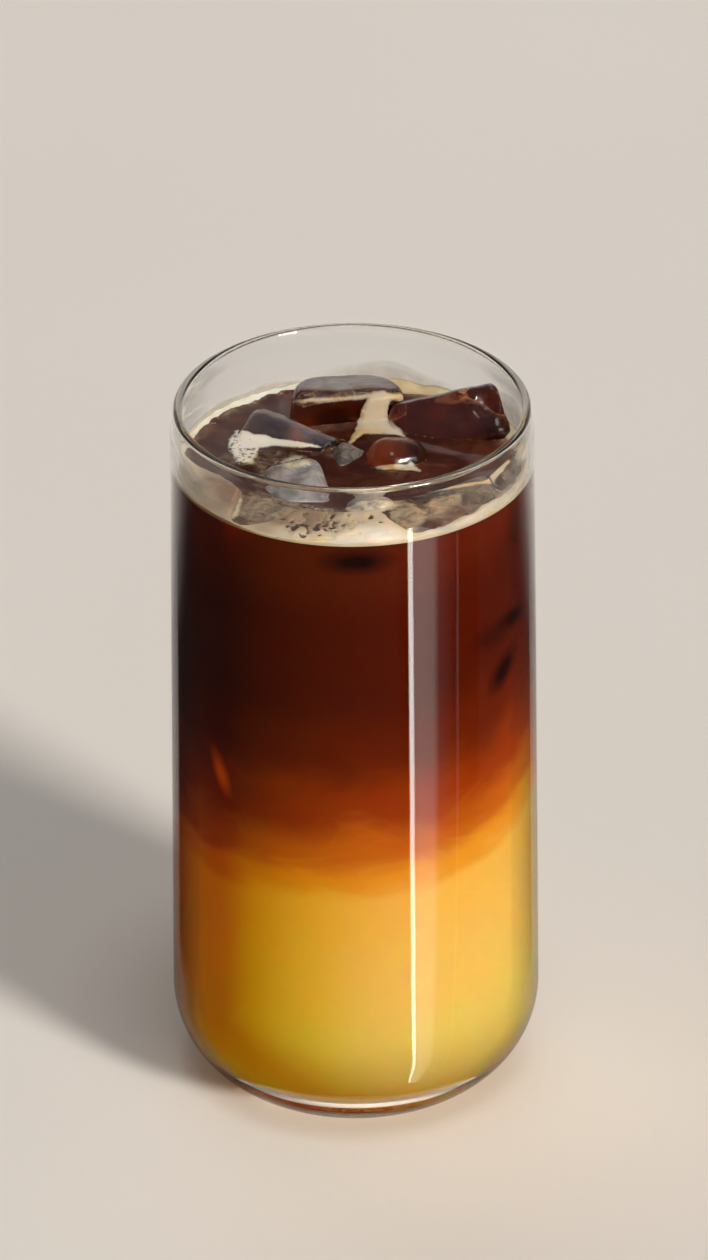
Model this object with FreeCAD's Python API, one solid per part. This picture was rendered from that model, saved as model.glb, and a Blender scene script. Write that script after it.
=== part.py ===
"""Iced orange espresso in its glass, in millimetres, +Z up.

A clear tumbler with a round lip, nearly straight sides that draw in a little towards the lip, a large
rounded heel and a thick base. It holds orange juice, a mixed band, espresso, a broken sheet of crema and
ice blocks that stand out of the drink. The origin is the middle of the foot, on the surface it stands on.
"""

import FreeCAD, Part
import math
import os

from FreeCAD import Vector

# ---- glass ----
glass_height = 148.5
lip_radius = 35.0  # outside of the lip
lip_round = 0.9  # the lip is a full round bead of this radius
neck_radius = 35.6  # outside of the wall where the draw to the lip starts
lip_draw_height = 6.0  # from that place up to the lip's top
body_radius = 36.7  # outside of the wall just above the heel
wall = 1.6
heel_round = 20.5
foot_round = 8.0  # the tighter round that takes the heel onto the foot
heel_turn_deg = 60.0  # how far the heel turns under before the foot round takes over
bearing_width = 2.6  # flat ring that the glass stands on
push_up = 1.2  # hollow in the middle of the underside
base_thickness = 5.5  # from the bearing ring up to the floor of the inside
inner_heel_round = 19.5

# ---- drink ----
free_depth = 13.2  # from the lip's top down to the drink
juice_depth = 58.0  # at the middle, from the floor of the inside
mixed_depth = 24.0
layer_tilt_deg = 3.5  # the layers lie higher towards +X

# ---- crema ----
crema_sunk = 0.5
crema_proud = 1.2
crema_width = 2.2  # of the ring along the wall, between its lobes
crema_lobes = [
    # where it is round the glass, how far it reaches further in, half its spread, both angles in degrees
    (-100.0, 12.5, 25.0),
    (-163.0, 6.6, 24.0),
    (-50.0, 4.5, 22.0),
    (-5.0, 1.4, 16.0),
    (78.0, 1.6, 20.0),
]
outline_steps = 90
patch_outline = [  # the island of crema between the blocks
    (-0.6, 9.6),
    (3.6, 12.8),
    (9.8, 12.0),
    (8.2, 16.6),
    (7.2, 21.0),
    (1.0, 20.0),
    (-0.4, 14.6),
]

# ---- ice ----
ice_wall_gap = 0.4
ice_gap = 0.2  # left between two blocks that would run into each other
ice_blocks = [
    # name, size, share of the size left at the top, middle (x, y, above the drink),
    # turns about X, Y and Z in degrees, edge round
    ("ice_back", (25.0, 12.5, 18.0), 0.88, (-1.6, 22.6, -3.0), (-5.0, 4.0, 10.0), 2.4),
    ("ice_right", (25.0, 14.0, 11.0), 0.94, (19.8, 16.8, -1.1), (40.0, -13.0, 0.0), 3.2),
    ("ice_front_left", (13.5, 17.0, 13.0), 0.86, (-10.4, -7.0, -5.1), (6.0, -4.0, 12.0), 2.6),
    ("ice_middle", (14.0, 12.0, 12.0), 0.84, (8.6, 3.4, -2.7), (0.0, 8.0, 20.0), 4.6),
    ("ice_corner", (8.5, 8.5, 8.5), 1.0, (-1.2, 3.4, -3.4), (38.0, 33.0, 15.0), 1.2),
    ("ice_left", (21.5, 13.0, 12.0), 0.94, (-12.8, 10.8, -4.7), (26.0, 6.0, -31.0), 2.0),
    ("ice_front", (11.5, 9.0, 10.0), 0.80, (3.4, -15.0, -2.8), (-8.0, 8.0, 10.0), 3.6),
    ("ice_front_right", (20.0, 14.0, 12.0), 0.88, (20.0, -12.4, -4.9), (8.0, -6.0, 24.0), 2.8),
]
half_moon_block = "ice_back"
half_moon_round = 8.5
dimpled_block = "ice_right"
dimple_radius = 2.8
dimple_depth = 1.4
dimple_place = (0.33, 0.10)  # on that block's top, as shares of its width and depth

drink_level = glass_height - free_depth
far = 4 * glass_height  # longer than anything here


def ray(angle):
    """Unit vector in the X-Z plane, turned down from +X by an angle in radians."""
    return Vector(math.cos(angle), 0, -math.sin(angle))


def arc(centre, radius, start, end):
    """Arc about a centre between two angles, measured down from +X."""
    middle = (start + end) / 2
    return Part.Arc(
        centre + ray(start) * radius, centre + ray(middle) * radius, centre + ray(end) * radius
    ).toShape()


def line(start, end):
    return Part.LineSegment(start, end).toShape()


def smooth(start, start_way, end, end_way):
    """Curve between two points that leaves and arrives along the given directions."""
    curve = Part.BSplineCurve()
    curve.interpolate(Points=[start, end], InitialTangent=start_way, FinalTangent=end_way)
    return curve.toShape()


class Sections:
    """The lines that the glass and everything in it share."""

    def __init__(self):
        self.shoulder_z = glass_height - lip_draw_height
        turn = math.radians(heel_turn_deg)
        heel_z = foot_round + (heel_round - foot_round) * math.sin(turn)
        self.lean = math.atan((body_radius - neck_radius) / (self.shoulder_z - heel_z))
        reach = self.reach_of(Vector(neck_radius, 0, self.shoulder_z))
        self.heel = self.tangent_centre(reach, heel_round, heel_z)
        self.foot = self.heel + ray(turn) * (heel_round - foot_round)
        self.turn = turn
        self.inner_heel = self.tangent_centre(
            reach - wall, inner_heel_round, base_thickness + inner_heel_round
        )
        self.neck = Vector(neck_radius, 0, self.shoulder_z)
        self.inner_neck = self.neck - ray(-self.lean) * wall
        self.lip = Vector(lip_radius - lip_round, 0, glass_height - lip_round)

    def reach_of(self, point):
        """Distance from the origin to the leaning wall line through a point."""
        return point.dot(ray(-self.lean))

    def tangent_centre(self, reach, radius, z):
        """Centre at height z of an arc that touches the leaning wall line from inside."""
        return Vector((reach - radius - z * math.sin(self.lean)) / math.cos(self.lean), 0, z)

    def wall_way(self):
        """Direction up the leaning wall."""
        return Vector(-math.sin(self.lean), 0, math.cos(self.lean))

    def inner_radius(self, z):
        """Radius of the inside at a height on its leaning wall."""
        slope = (self.inner_neck.z - z) * math.tan(self.lean)
        return self.inner_neck.x + slope


def revolve(edges):
    """Full turn about Z of a closed outline in the X-Z plane."""
    face = Part.Face(Part.Wire(Part.__sortEdges__(edges)))
    return face.revolve(Vector(0, 0, 0), Vector(0, 0, 1), 360)


def make_glass(s):
    bearing_outer = Vector(s.foot.x, 0, 0)
    bearing_inner = Vector(s.foot.x - bearing_width, 0, 0)
    crown = Vector(0, 0, push_up)
    dome_radius = (bearing_inner.x**2 + push_up**2) / (2 * push_up)
    half = math.asin(bearing_inner.x / dome_radius) / 2
    dome_middle = Vector(
        dome_radius * math.sin(half), 0, push_up - dome_radius * (1 - math.cos(half))
    )
    heel_top = s.heel + ray(-s.lean) * heel_round
    inner_heel_top = s.inner_heel + ray(-s.lean) * inner_heel_round
    floor_edge = Vector(s.inner_heel.x, 0, base_thickness)
    lip_outer = s.lip + Vector(lip_round, 0, 0)
    lip_inner = s.lip - Vector(lip_round, 0, 0)
    up = Vector(0, 0, 1)
    edges = [
        Part.Arc(crown, dome_middle, bearing_inner).toShape(),
        line(bearing_inner, bearing_outer),
        arc(s.foot, foot_round, math.pi / 2, s.turn),
        arc(s.heel, heel_round, s.turn, -s.lean),
        line(heel_top, s.neck),
        smooth(s.neck, s.wall_way(), lip_outer, up),
        arc(s.lip, lip_round, 0, -math.pi),
        smooth(lip_inner, up * -1, s.inner_neck, s.wall_way() * -1),
        line(s.inner_neck, inner_heel_top),
        arc(s.inner_heel, inner_heel_round, -s.lean, math.pi / 2),
        line(floor_edge, Vector(0, 0, base_thickness)),
        line(Vector(0, 0, base_thickness), crown),
    ]
    return revolve(edges)


def make_filling(s, top):
    """Solid of the inside from its floor up to a height on the leaning wall."""
    inner_heel_top = s.inner_heel + ray(-s.lean) * inner_heel_round
    floor_middle = Vector(0, 0, base_thickness)
    floor_edge = Vector(s.inner_heel.x, 0, base_thickness)
    brim = Vector(s.inner_radius(top), 0, top)
    top_middle = Vector(0, 0, top)
    edges = [
        line(floor_middle, floor_edge),
        arc(s.inner_heel, inner_heel_round, math.pi / 2, -s.lean),
        line(inner_heel_top, brim),
        line(brim, top_middle),
        line(top_middle, floor_middle),
    ]
    return revolve(edges)


def below(z, tilt_deg=0.0):
    """Everything under a plane at height z on the axis, lifted towards +X by a tilt."""
    block = Part.makeBox(2 * far, 2 * far, far, Vector(-far, -far, -far))
    block.rotate(Vector(0, 0, 0), Vector(0, 1, 0), -tilt_deg)
    block.translate(Vector(0, 0, z))
    return block


def make_layers(s):
    """Juice, mixed band and espresso, from the bottom up, each to its own level."""
    full = make_filling(s, drink_level)
    juice_top = base_thickness + juice_depth
    mixed_top = juice_top + mixed_depth
    under_juice = below(juice_top, layer_tilt_deg)
    under_mixed = below(mixed_top, layer_tilt_deg)
    return {
        "orange_juice": full.common(under_juice),
        "mixed_band": full.common(under_mixed).cut(under_juice),
        "espresso": full.cut(under_mixed),
    }


def settle(shape, middle, turns):
    """Turn a block about X, Y and Z, and set its middle where it floats."""
    for axis, angle in zip((Vector(1, 0, 0), Vector(0, 1, 0), Vector(0, 0, 1)), turns):
        shape.rotate(Vector(0, 0, 0), axis, angle)
    x, y, above = middle
    shape.translate(Vector(x, y, drink_level + above))
    return shape


def make_ice(size, top_share, middle, turns, edge_round, back_round=0.0):
    """Block that narrows a little towards its top, with all its edges melted round.

    back_round first rounds the two upright edges at its back, which makes a half moon of it.
    """
    x, y, z = (side / 2 for side in size)

    def rectangle(level, share):
        signs = ((-1, -1), (1, -1), (1, 1), (-1, 1))
        corners = [Vector(i * x * share, j * y * share, level) for i, j in signs]
        return Part.makePolygon(corners + corners[:1])

    block = Part.makeLoft([rectangle(-z, 1.0), rectangle(z, top_share)], True, True)
    if back_round:
        middles = [(edge, edge.CenterOfMass) for edge in block.Edges]
        back = [edge for edge, m in middles if m.y > y / 2 and abs(m.x) > x / 2 and abs(m.z) < z / 2]
        block = block.makeFillet(back_round, back)
    return settle(block.makeFillet(edge_round, block.Edges), middle, turns)


def make_dimple(size, middle, turns):
    """Ball that presses the round hollow into the top of a block."""
    ball_radius = (dimple_radius**2 + dimple_depth**2) / (2 * dimple_depth)
    place = Vector(
        size[0] * dimple_place[0], size[1] * dimple_place[1], size[2] / 2 + ball_radius - dimple_depth
    )
    return settle(Part.makeSphere(ball_radius, place), middle, turns)


def make_ice_blocks(s):
    """All the blocks, kept clear of the wall and of each other."""
    room = Part.makeCylinder(s.inner_radius(glass_height) - ice_wall_gap, glass_height)
    blocks = {}
    placed = []
    for name, size, top_share, middle, turns, edge_round in ice_blocks:
        back_round = half_moon_round if name == half_moon_block else 0.0
        block = make_ice(size, top_share, middle, turns, edge_round, back_round)
        if name == dimpled_block:
            block = block.cut(make_dimple(size, middle, turns))
        blocks[name] = cut_all(block.common(room), placed)
        grown = tuple(side + 2 * ice_gap for side in size)
        if back_round:
            back_round += ice_gap
        placed.append(make_ice(grown, top_share, middle, turns, edge_round + ice_gap, back_round))
    return blocks


def crema_inner_radius(s, angle_deg):
    """Radius of the ring's uneven inner edge at an angle round the glass."""
    width = crema_width
    for place, height, spread in crema_lobes:
        away = (angle_deg - place + 180) % 360 - 180
        width += height * math.exp(-((away / spread) ** 4))
    return s.inner_radius(drink_level) - width


def upright(points, low, high):
    """Solid between two heights whose outline is a smooth closed curve through points."""
    curve = Part.BSplineCurve()
    curve.interpolate(Points=[Vector(x, y, low) for x, y in points], PeriodicFlag=True)
    return Part.Face(Part.Wire(curve.toShape())).extrude(Vector(0, 0, high - low))


def make_crema(s):
    """Ring of foam along the wall, partly sunk in the espresso."""
    low = drink_level - crema_sunk
    high = drink_level + crema_proud
    inner_edge = []
    for step in range(outline_steps):
        angle_deg = 360 * step / outline_steps
        radius = crema_inner_radius(s, angle_deg)
        angle = math.radians(angle_deg)
        inner_edge.append((radius * math.cos(angle), radius * math.sin(angle)))
    return make_filling(s, high).cut(below(low)).cut(upright(inner_edge, low, high))


def make_crema_patch():
    """Island of foam between the blocks."""
    return upright(patch_outline, drink_level - crema_sunk, drink_level + crema_proud)


def cut_all(shape, tools):
    for tool in tools:
        shape = shape.cut(tool)
    return shape


def main():
    s = Sections()
    blocks = make_ice_blocks(s)
    crema = cut_all(make_crema(s), blocks.values())
    patch = cut_all(make_crema_patch(), [*blocks.values(), crema])
    nodes = {"glass": make_glass(s)}
    nodes.update(make_layers(s))
    nodes["espresso"] = cut_all(nodes["espresso"], [*blocks.values(), crema, patch])
    nodes["crema"] = crema
    nodes["crema_patch"] = patch
    nodes.update(blocks)
    os.makedirs("parts", exist_ok=True)
    for name, shape in nodes.items():
        shape.exportStep(os.path.join("parts", name + ".step"))


main()
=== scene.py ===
"""Looks of an iced orange espresso: clear tumbler, drink from juice to coffee, crema and ice."""

import math
import random

import bmesh
import bpy
import numpy as np
from mathutils import Matrix, Vector, noise
from mathutils.bvhtree import BVHTree


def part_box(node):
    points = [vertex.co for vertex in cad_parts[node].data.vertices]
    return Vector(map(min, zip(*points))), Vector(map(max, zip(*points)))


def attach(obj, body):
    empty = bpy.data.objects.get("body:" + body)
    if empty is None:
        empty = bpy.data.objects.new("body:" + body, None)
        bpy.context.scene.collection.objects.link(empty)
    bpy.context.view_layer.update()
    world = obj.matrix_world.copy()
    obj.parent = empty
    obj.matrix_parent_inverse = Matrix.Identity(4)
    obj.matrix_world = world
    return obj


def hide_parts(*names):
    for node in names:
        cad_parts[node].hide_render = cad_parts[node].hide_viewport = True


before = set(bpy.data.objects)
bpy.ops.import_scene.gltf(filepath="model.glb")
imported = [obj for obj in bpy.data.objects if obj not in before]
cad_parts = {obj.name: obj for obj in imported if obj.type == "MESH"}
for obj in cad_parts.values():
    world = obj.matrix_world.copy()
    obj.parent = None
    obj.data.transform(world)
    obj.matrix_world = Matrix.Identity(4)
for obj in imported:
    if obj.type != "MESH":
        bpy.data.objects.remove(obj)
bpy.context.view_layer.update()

MM = 0.001

# ---- places taken from the frame ----
GLASS_LOW, GLASS_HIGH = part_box("glass")
HEIGHT = GLASS_HIGH[2]
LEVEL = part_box("espresso")[1][2]
CREMA_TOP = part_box("crema")[1][2]
CREMA_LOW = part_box("crema")[0][2]
FLOOR_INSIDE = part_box("orange_juice")[0][2]
ICE_NODES = [name for name in sorted(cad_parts) if name.startswith("ice_")]

# ---- glass ----
LIP_RADIUS = 35.0 * MM
LIP_ROUND = 0.9 * MM
NECK_RADIUS = 35.6 * MM
LIP_DRAW = 6.0 * MM
BODY_RADIUS = 36.7 * MM
WALL = 1.6 * MM
HEEL_ROUND = 20.5 * MM
FOOT_ROUND = 8.0 * MM
HEEL_TURN = math.radians(60)
BEARING_WIDTH = 2.6 * MM
PUSH_UP = 1.2 * MM
INNER_HEEL_ROUND = 19.5 * MM
SPIN_STEPS = 192
GLASS_IOR = 1.47
DRINK_IOR = 1.35

# ---- drink ----
INTO_WALL = 0.3 * MM  # how far the drink and the foam reach into the wall, so that no air shows
MENISCUS = 0.7 * MM
MENISCUS_REACH = 1.2 * MM
SURFACE_STEPS = 40
INTO_ICE = 0.12 * MM

# ---- crema ----
CREMA_WIDTH = 1.2 * MM
CREMA_LOBES = [  # place round the glass and half spread in degrees, reach in metres, how square it is
    (-98.0, 27.0, 12.5 * MM, 8),
    (-160.0, 20.0, 8.6 * MM, 4),
    (-46.0, 26.0, 2.7 * MM, 4),
    (22.0, 16.0, 1.5 * MM, 4),
    (66.0, 14.0, 1.6 * MM, 4),
]
CREMA_SWELLS = [  # place round the glass, half spread, how much higher the foam stands there
    (-162.0, 20.0, 0.9 * MM),
    (-84.0, 12.0, 0.7 * MM),
    (-112.0, 14.0, -0.25 * MM),
]
THIN_CREMA = [  # middle (x, y) and reach in millimetres, strength
    (24.5, -15.0, 5.0, 0.55),
    (29.0, -10.0, 3.5, 0.5),
    (16.5, -21.0, 4.0, 0.8),
    (12.0, -22.0, 3.0, 0.9),
    (17.0, -15.5, 3.0, 0.7),
    (9.0, -2.5, 3.0, 0.5),
    (-23.5, 2.0, 2.5, 0.8),
    (-20.0, -15.0, 2.5, 0.7),
    (-8.0, -17.0, 3.0, 0.8),
]
PIT_MIDDLE = (-6.0, -25.5)  # of the burst bubbles in the foam at the front, in millimetres
PIT_SPREAD = (3.4, 2.4)
PIT_COUNT = 150

CREMA_ACROSS = 34
CREMA_STEPS = 540
CREMA_RAGGED = [(1.0, 5.5), (0.45, 17), (0.2, 48)]  # millimetres and how often round the ring
CREMA_HIGH = 0.75 * MM
BEAD_HIGH = 0.8 * MM
BEAD_REACH = 0.9 * MM
FOAM_TONES_AND_PAINTED_SHADE = [  # middle (x, y) and half widths in millimetres, how brown it is there; on the front foam the brown is painted shade
    (2.5, -28.0, 8.5, 7.5, -0.22),
    (-12.0, -21.5, 9.5, 7.5, 0.75),
    (-20.0, -26.0, 9.0, 5.0, 0.45),
    (15.0, -26.0, 7.0, 5.0, 0.30),
    (-26.0, -12.0, 7.0, 10.0, 0.85),
    (-22.0, 24.0, 12.0, 11.0, -0.90),
]
# ---- ice ----
ICE_GRAIN = 0.45 * MM  # of the even mesh that each block gets
ICE_BROAD = 0.35 * MM
ICE_FINE = 0.07 * MM
ICE_MELT = 0.15 * MM
PAINTED_SKY_SHEEN_WAY = Vector((0, 0.35, 0.94))  # faces turned this way get a painted grey reflection of the sky
PAINTED_SKY_SHEEN_FROM = {"ice_left": 0.50, "ice_front_right": 0.60}
PAINTED_SKY_SHEEN_USUAL = 0.80
# ---- small bubbles ----
BUBBLE_TRAILS = [  # from and to in degrees, distance from the wall, half spread, how many
    (-58.0, -12.0, 3.0, 1.0, 80),
    (-125.0, -95.0, 14.5, 1.4, 30),
    (95.0, 150.0, 1.8, 0.4, 20),
]
BUBBLE_PATCHES = [  # middle (x, y), spread in millimetres, how many
    (-14.5, 0.5, 1.2, 9),
    (-3.5, 6.0, 1.0, 9),
]
BUBBLE_SIZES = (0.12, 0.15, 0.2, 0.28)
# ---- film of crema on the wall: place round the glass and half spread in degrees,
# height in metres, strength ----
FILM_SPAN = (0.2 * MM, 11.5 * MM)  # above the drink
FILM_OFF = 0.03 * MM  # from the wall
FILM_THICK = 0.12 * MM
FILMS = [
    (200.0, 24.0, 9.0 * MM, 0.50),
    (138.0, 34.0, 2.3 * MM, 0.60),
    (78.0, 22.0, 5.2 * MM, 0.30),
    (20.0, 22.0, 9.0 * MM, 0.34),
    (-24.0, 22.0, 5.0 * MM, 0.30),
    (-95.0, 50.0, 1.6 * MM, 0.25),
]

# ---- thin crema laid over ice and drink: thickness in metres, tone (-0.5 white, 0 cream, 1 brown),
# how burst it is, how dense, softness of its edge in millimetres, how much its border outshines
# its middle, and its outline of (x, up) in millimetres across the direction it is laid in,
# from the middle of the drink's surface ----
LAY_DOWN = math.radians(29.3)
SKIN_FROM = (-33.0, -17.0)  # first corner (x, up) of the grid that is laid, in millimetres
SKIN_STEP = 0.22
SKIN_STEPS = (299, 156)
SKIN_OFF = 0.06 * MM  # how far the thinnest crema lies off what is below
SKIN_TEAR = 1.5 * MM  # the sheet is open where it would stretch further than this
LEAST_COVER = 0.004
DRAPES = [
    (0.50 * MM, 0.06, 0.10, 1.0, 0.35, 0.0, [  # column of foam beside the back block
        (3.5, 13.5), (7.0, 14.2), (10.0, 14.0), (9.8, 12.8), (7.5, 12.3), (7.0, 9.5),
        (8.5, 7.8), (10.5, 5.5), (8.5, 6.0), (4.5, 6.2), (2.0, 5.9), (0.0, 4.3), (-0.7, 4.5),
        (1.0, 7.5), (2.0, 11.0),
    ]),
    (0.30 * MM, 0.25, 0.0, 0.9, 0.30, 0.0, [  # ledge on the back block's front edge
        (-12.2, 12.5), (-8.5, 13.1), (-3.0, 13.4), (2.0, 13.9), (6.0, 14.8), (6.0, 13.2),
        (1.5, 12.9), (-4.0, 12.5), (-8.5, 12.2),
    ]),
    (0.15 * MM, 0.75, 0.0, 0.30, 0.6, 0.3, [  # veil over the back block's top
        (-11.0, 13.2), (-6.0, 15.6), (0.0, 16.4), (6.0, 16.0), (10.0, 14.4), (6.0, 14.8),
        (2.0, 13.9), (-6.0, 13.2),
    ]),
    (0.35 * MM, -0.36, 0.05, 1.0, 0.30, 0.0, [  # band across the left block
        (-22.8, 6.9), (-18.5, 6.2), (-14.5, 5.2), (-9.5, 4.5), (-6.0, 3.5), (-9.5, 3.4),
        (-14.5, 3.8), (-18.0, 3.6), (-21.5, 3.8),
    ]),
    (0.40 * MM, -0.40, 0.44, 0.95, 0.5, 0.0, [  # burst foam on the left block's end
        (-22.8, 6.9), (-20.5, 5.8), (-18.6, 3.7), (-19.0, 1.6), (-20.2, 0.0), (-22.5, 0.6),
        (-24.0, 3.0), (-24.3, 4.8),
    ]),
    (0.10 * MM, 0.10, 0.0, 0.75, 0.22, 0.0, [  # bright far edge of the left block: a painted highlight, laid as a thin line of crema
        (-18.0, 11.4), (-14.5, 10.4), (-9.8, 8.3), (-5.0, 6.1), (-0.8, 4.6), (-5.0, 5.7),
        (-9.8, 7.8), (-14.5, 9.9),
    ]),
    (0.10 * MM, 0.85, 0.1, 0.38, 1.2, 0.0, [  # veil below the band
        (-19.5, 1.5), (-14.0, 2.6), (-7.5, 2.2), (-3.5, 3.4), (-1.0, 1.0), (-6.5, 1.6),
        (-14.0, -1.0), (-18.0, -3.5),
    ]),
    (0.30 * MM, 0.20, 0.0, 0.95, 0.30, 0.0, [  # line before the middle block
        (3.5, -0.7), (6.5, -0.3), (8.6, 0.0), (10.4, -0.3), (11.6, 0.3), (13.5, -1.6),
        (11.0, -1.4), (8.5, -1.2), (6.5, -1.1),
    ]),
    (0.25 * MM, 0.25, 0.0, 0.95, 0.35, 0.0, [  # line that swirls up at the right
        (14.5, -4.2), (17.5, -3.4), (20.0, -3.1), (23.0, -3.0), (26.0, -3.0), (27.5, -0.6),
        (29.6, 2.0), (30.5, 0.8), (29.0, -2.2), (27.0, -4.4), (23.0, -4.1), (19.0, -4.1),
    ]),
    (0.15 * MM, 0.85, 0.0, 0.36, 1.3, 0.2, [  # veil inside the swirl
        (13.0, -6.0), (20.0, -4.0), (27.0, -4.2), (30.5, -1.0), (31.5, -3.5), (29.0, -7.0),
        (22.0, -9.4), (15.5, -10.2),
    ]),
    (0.30 * MM, 0.10, 0.0, 0.80, 0.6, 0.35, [  # cap of the front block
        (-1.5, -9.0), (0.6, -6.9), (3.4, -5.9), (6.5, -6.3), (8.4, -8.2), (6.0, -9.4),
        (2.0, -9.8),
    ]),
    (0.25 * MM, 0.55, 0.15, 0.75, 0.8, 0.2, [  # foam right of the front block
        (6.3, -6.4), (9.5, -6.6), (12.3, -8.0), (13.4, -10.5), (12.0, -13.0), (9.5, -12.6),
        (7.3, -10.0),
    ]),
    (0.20 * MM, 0.60, 0.1, 0.50, 0.8, 0.3, [  # foam on the front right block
        (17.0, -6.3), (19.5, -5.9), (20.7, -7.0), (19.0, -8.4), (15.5, -10.0), (13.4, -11.5),
        (13.0, -10.0), (14.8, -8.2),
    ]),
    (0.15 * MM, 0.70, 0.35, 0.62, 1.3, 0.0, [  # foam before the front left block
        (-21.5, -9.0), (-18.0, -4.6), (-12.0, -6.6), (-7.5, -8.4), (-3.5, -9.6), (-5.5, -12.4),
        (-13.5, -12.6), (-19.5, -12.0),
    ]),
    (0.10 * MM, -0.40, 0.0, 0.50, 0.7, 0.0, [  # top of the front left block
        (-13.6, 0.2), (-11.6, 1.7), (-9.2, 1.7), (-7.9, 0.2), (-9.6, -0.8), (-12.0, -0.9),
    ]),
    (0.35 * MM, 0.12, 0.0, 0.90, 0.6, 0.80, [  # round lobe at the left wall
        (-31.5, 0.5), (-27.5, -0.4), (-23.8, -2.0), (-22.0, -5.0), (-21.6, -8.5),
        (-23.5, -11.0), (-27.0, -11.2), (-29.9, -9.0), (-32.2, -6.0),
    ]),
]
# ---- places where the coffee gets a painted amber glow, of light that comes through the ice below or behind:
# (x, y, above the drink, reach) in millimetres ----
PAINTED_AMBER_GLOW = [
    (9.0, 1.5, -1.0, 6.5),
    (-9.5, 15.0, 1.0, 6.5),
    (28.0, 8.0, -1.0, 6.0),
    (3.0, -2.0, -2.0, 3.0),
    (13.0, 9.0, -4.0, 4.0),
]
# ---- darker marks of painted shade where ice is sunk against the wall, and one lighter, yellower streak:
# (x, y, z, half width, half height) in millimetres, tilt in degrees, gain ----
WALL_MARKS_PAINTED_SHADE_AND_STREAK = [
    (0.6, -34.0, 132.6, 7.0, 2.6, 0, 0.12),
    (30.6, -16.6, 110.4, 4.6, 2.3, 8, 0.16),
    (27.0, -21.8, 109.4, 6.0, 3.0, 0, 0.55),
    (28.8, -19.6, 100.2, 3.0, 5.6, 52, 0.12),
    (-26.0, -23.6, 80.0, 1.9, 5.0, -24, 2.8),
]


# ---------------------------------------------------------------- mesh helpers


def finish_mesh(name, bm, smooth=True):
    """Object in the scene made from a bmesh, at the origin."""
    for face in bm.faces:
        face.smooth = smooth
    mesh = bpy.data.meshes.new(name)
    bm.to_mesh(mesh)
    bm.free()
    obj = bpy.data.objects.new(name, mesh)
    bpy.context.scene.collection.objects.link(obj)
    return obj


def joined(objects):
    """bmesh of some objects' meshes together."""
    bm = bmesh.new()
    for obj in objects:
        bm.from_mesh(obj.data)
    return bm


def spin_outline(outline, closed=False, steps=SPIN_STEPS):
    """bmesh of an outline of (radius, height) points turned once round the glass's axis."""
    bm = bmesh.new()
    verts = [bm.verts.new((r, 0, z)) for r, z in outline]
    pairs = list(zip(verts, verts[1:]))
    if closed:
        pairs.append((verts[-1], verts[0]))
    edges = [bm.edges.new(pair) for pair in pairs]
    bmesh.ops.spin(
        bm,
        geom=verts + edges,
        cent=(0, 0, 0),
        axis=(0, 0, 1),
        angle=2 * math.pi,
        steps=steps,
        use_merge=True,
    )
    bmesh.ops.remove_doubles(bm, verts=bm.verts, dist=1e-7)
    bmesh.ops.recalc_face_normals(bm, faces=bm.faces)
    return bm


def set_attribute(obj, name, values):
    """One number for each vertex, for the materials to read."""
    made = obj.data.attributes.new(name, "FLOAT", "POINT")
    made.data.foreach_set("value", values)


def step_up(value, low, high):
    t = min(1.0, max(0.0, (value - low) / (high - low)))
    return t * t * (3 - 2 * t)


def near_angle(degrees, place, spread, square=4):
    """Share from 1 at a place round the glass down to 0 beyond its spread."""
    away = (degrees - place + 180) % 360 - 180
    return math.exp(-((away / spread) ** square))


def apply_modifiers(obj):
    """The object's mesh becomes what its modifiers make of it."""
    graph = bpy.context.evaluated_depsgraph_get()
    graph.update()
    mesh = bpy.data.meshes.new_from_object(obj.evaluated_get(graph), depsgraph=graph)
    obj.modifiers.clear()
    old = obj.data
    obj.data = mesh
    bpy.data.meshes.remove(old)
    return obj


def add_piece(obj, *nodes, slot=None):
    """A finished piece rides on the only body and stands for its CAD nodes."""
    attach(obj, "root")
    if nodes:
        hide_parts(*nodes)
    return obj


def give(obj, *materials):
    """Materials for an object, kept in step with the numbers its faces already have."""
    numbers = [face.material_index for face in obj.data.polygons]
    obj.data.materials.clear()
    for material in materials:
        obj.data.materials.append(material)
    obj.data.polygons.foreach_set("material_index", [min(n, len(materials) - 1) for n in numbers])


def arc(centre, radius, start, end, steps):
    """Points (radius, height) on an arc, with angles measured down from straight out."""
    turn = [start + (end - start) * i / steps for i in range(steps + 1)]
    return [(centre[0] + radius * math.cos(a), centre[1] - radius * math.sin(a)) for a in turn]


def ease(start, start_way, end, end_way, steps):
    """Points (radius, height) on a Hermite curve, without its first point."""
    points = []
    for i in range(1, steps + 1):
        t = i / steps
        a = 2 * t**3 - 3 * t**2 + 1
        b = t**3 - 2 * t**2 + t
        c = 3 * t**2 - 2 * t**3
        d = t**3 - t**2
        points.append(
            tuple(a * start[k] + b * start_way[k] + c * end[k] + d * end_way[k] for k in (0, 1))
        )
    return points


# ---------------------------------------------------------------- outline of the glass

SHOULDER = HEIGHT - LIP_DRAW
HEEL_Z = FOOT_ROUND + (HEEL_ROUND - FOOT_ROUND) * math.sin(HEEL_TURN)
LEAN = math.atan((BODY_RADIUS - NECK_RADIUS) / (SHOULDER - HEEL_Z))
OUTER_REACH = NECK_RADIUS * math.cos(LEAN) + SHOULDER * math.sin(LEAN)


def wall_radius(z, inwards=0.0):
    """Radius of the leaning wall at a height, set in from its outside."""
    return (OUTER_REACH - inwards - z * math.sin(LEAN)) / math.cos(LEAN)


def inner_radius(z):
    return wall_radius(z, WALL)


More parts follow.
